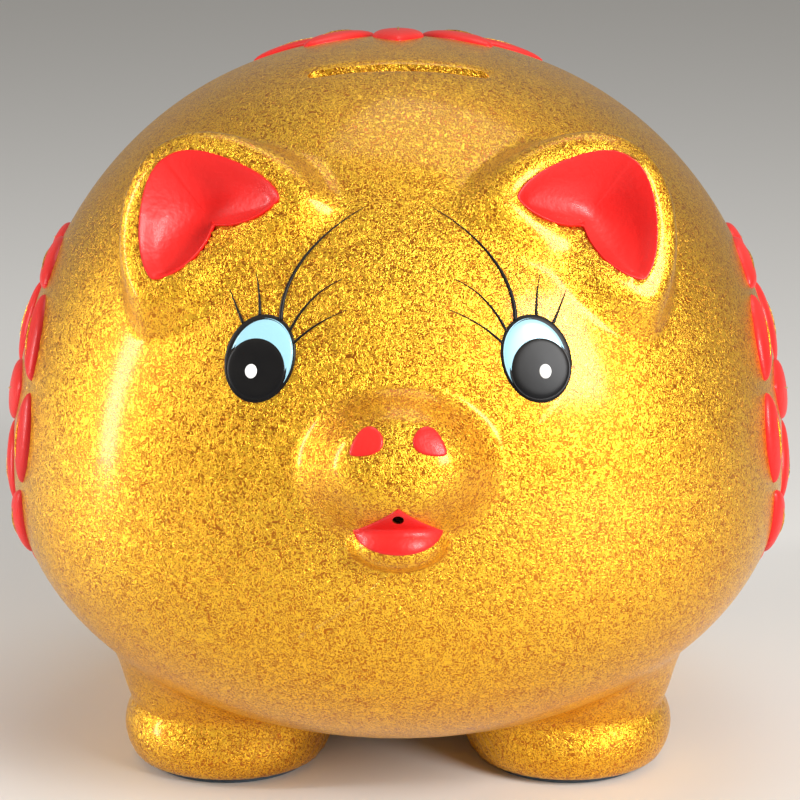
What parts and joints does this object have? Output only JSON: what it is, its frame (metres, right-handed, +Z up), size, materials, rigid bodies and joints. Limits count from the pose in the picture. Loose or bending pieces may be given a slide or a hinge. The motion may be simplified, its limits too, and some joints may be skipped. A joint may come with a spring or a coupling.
{
  "type": "figural animal coin bank",
  "caption": "Hollow glazed ceramic pig money box on stub feet, with a coin slot across its back, a rubber belly stopper, raised ornament and foam foot pads.",
  "frame": {"origin": "centre of the plan outline, on the surface that the foot pads stand on", "axes": "+Z up, the pig faces -Y, +X is the pig's own left side"},
  "size_m": [0.1816, 0.2068, 0.1674],
  "materials": {
    "gold_glaze": "crackled metallic gold glaze over fired ceramic",
    "red_enamel": "glossy red enamel with a slight orange peel",
    "black_enamel": "glossy black enamel",
    "blue_enamel": "satin pale blue enamel",
    "white_enamel": "glossy white enamel",
    "stopper_rubber": "matt black moulded rubber",
    "foot_foam": "closed-cell foam sheet, dark blue grey"
  },
  "bodies": {
    "bank": {"body_shell": "gold_glaze", "tail": "gold_glaze", "front_left_foot_pad": "foot_foam", "front_right_foot_pad": "foot_foam", "rear_left_foot_pad": "foot_foam", "rear_right_foot_pad": "foot_foam", "left_ear_lining": "red_enamel", "right_ear_lining": "red_enamel", "left_eye_outline": "black_enamel", "right_eye_outline": "black_enamel", "left_eye_iris": "blue_enamel", "right_eye_iris": "blue_enamel", "left_eye_pupil": "black_enamel", "right_eye_pupil": "black_enamel", "left_eye_glint": "white_enamel", "right_eye_glint": "white_enamel", "left_lashes": "black_enamel", "right_lashes": "black_enamel", "left_nostril": "red_enamel", "right_nostril": "red_enamel", "mouth_enamel": "red_enamel", "left_flank_relief": "red_enamel", "right_flank_relief": "red_enamel", "crown_relief": "red_enamel"},
    "stopper": {"belly_stopper": "stopper_rubber"}
  },
  "joints": [
    {"name": "stopper_pull", "type": "slide", "parent": "bank", "child": "stopper", "axis": [0, 0, -1], "range_m": [0, 0.011]}
  ]
}
